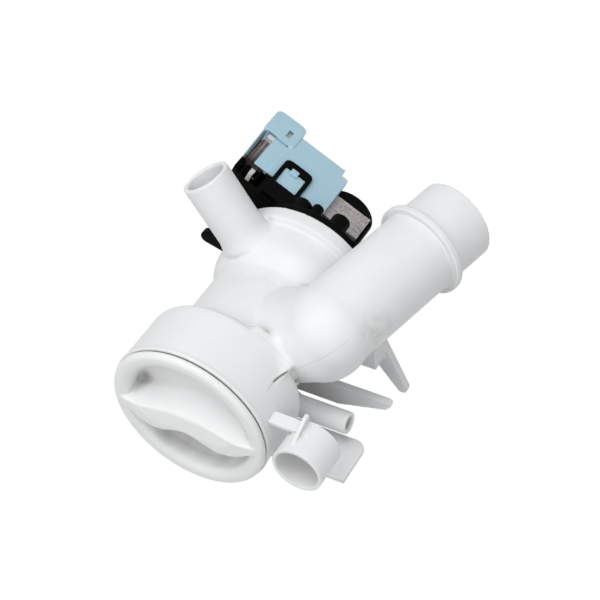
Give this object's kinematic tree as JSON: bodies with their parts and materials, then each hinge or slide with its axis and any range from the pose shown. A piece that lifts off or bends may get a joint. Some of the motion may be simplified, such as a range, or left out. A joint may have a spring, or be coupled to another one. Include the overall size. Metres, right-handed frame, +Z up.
{
  "type": "washer drain pump",
  "caption": "Drain pump of a washing machine: lint filter chamber with a hand-turned cap, bent inlet pipe, radial outlet, drain nipple and a two-coil synchronous motor.",
  "frame": {"origin": "on the pump axis at the front rim of the filter chamber, where the cap's seal lies", "axes": "+Y along the pump axis from the cap to the motor, +X to the right seen from the cap, +Z up, away from the foot plate"},
  "size_m": [0.1541, 0.172, 0.115],
  "materials": {
    "white_pp": "moulded polypropylene, satin, handled",
    "white_cap": "moulded plastic, satin",
    "grey_pp": "moulded polypropylene",
    "impeller_plastic": "glass-filled plastic",
    "dog_plastic": "acetal",
    "black_pbt": "moulded, satin black",
    "blue_pp": "moulded, light blue",
    "bobbin_white": "moulded white",
    "rubber": "black rubber",
    "lamination": "stacked electrical sheet, browned",
    "steel": "ground shaft steel",
    "tin": "tinned contact",
    "ferrite": "ferrite, dark grey",
    "bronze": "sintered bronze",
    "copper": "enamelled copper wire"
  },
  "bodies": {
    "pump": {"filter_housing": "white_pp", "inlet_elbow": "white_pp", "pump_neck": "white_pp", "volute_housing": "white_pp", "outlet_pipe": "white_pp", "drain_nipple": "white_pp", "hose_clip": "white_pp", "front_bearing": "bronze", "rear_bearing": "bronze", "bearing_holder": "impeller_plastic", "shaft_seal": "rubber", "flange_seal": "rubber", "motor_housing": "black_pbt", "coil_support": "black_pbt", "stator_core": "lamination", "coil_bobbins": "bobbin_white", "coil_windings": "copper", "coil_cover": "blue_pp", "terminal_blades": "tin"},
    "filter_basket": {"filter_insert": "grey_pp"},
    "filter_knob": {"filter_cap": "white_cap", "cap_seal": "rubber"},
    "rotor": {"rotor_shaft": "steel", "drive_dog": "dog_plastic", "rotor_magnet": "ferrite", "magnet_washers": "steel"},
    "pump_wheel": {"impeller": "impeller_plastic"}
  },
  "joints": [
    {"name": "filter_pull", "type": "slide", "parent": "pump", "child": "filter_basket", "axis": [0, -1, 0], "range_m": [0, 0.09]},
    {"name": "cap_turn", "type": "hinge", "parent": "filter_basket", "child": "filter_knob", "pos_m": [0, 0, 0], "axis": [0, -1, 0], "range_deg": [-50, 0]},
    {"name": "rotor_spin", "type": "hinge", "parent": "pump", "child": "rotor", "pos_m": [0, 0.139, 0], "axis": [0, 1, 0], "continuous": true},
    {"name": "impeller_lag", "type": "hinge", "parent": "rotor", "child": "pump_wheel", "pos_m": [0, 0.095, 0], "axis": [0, -1, 0], "range_deg": [0, 235]}
  ]
}
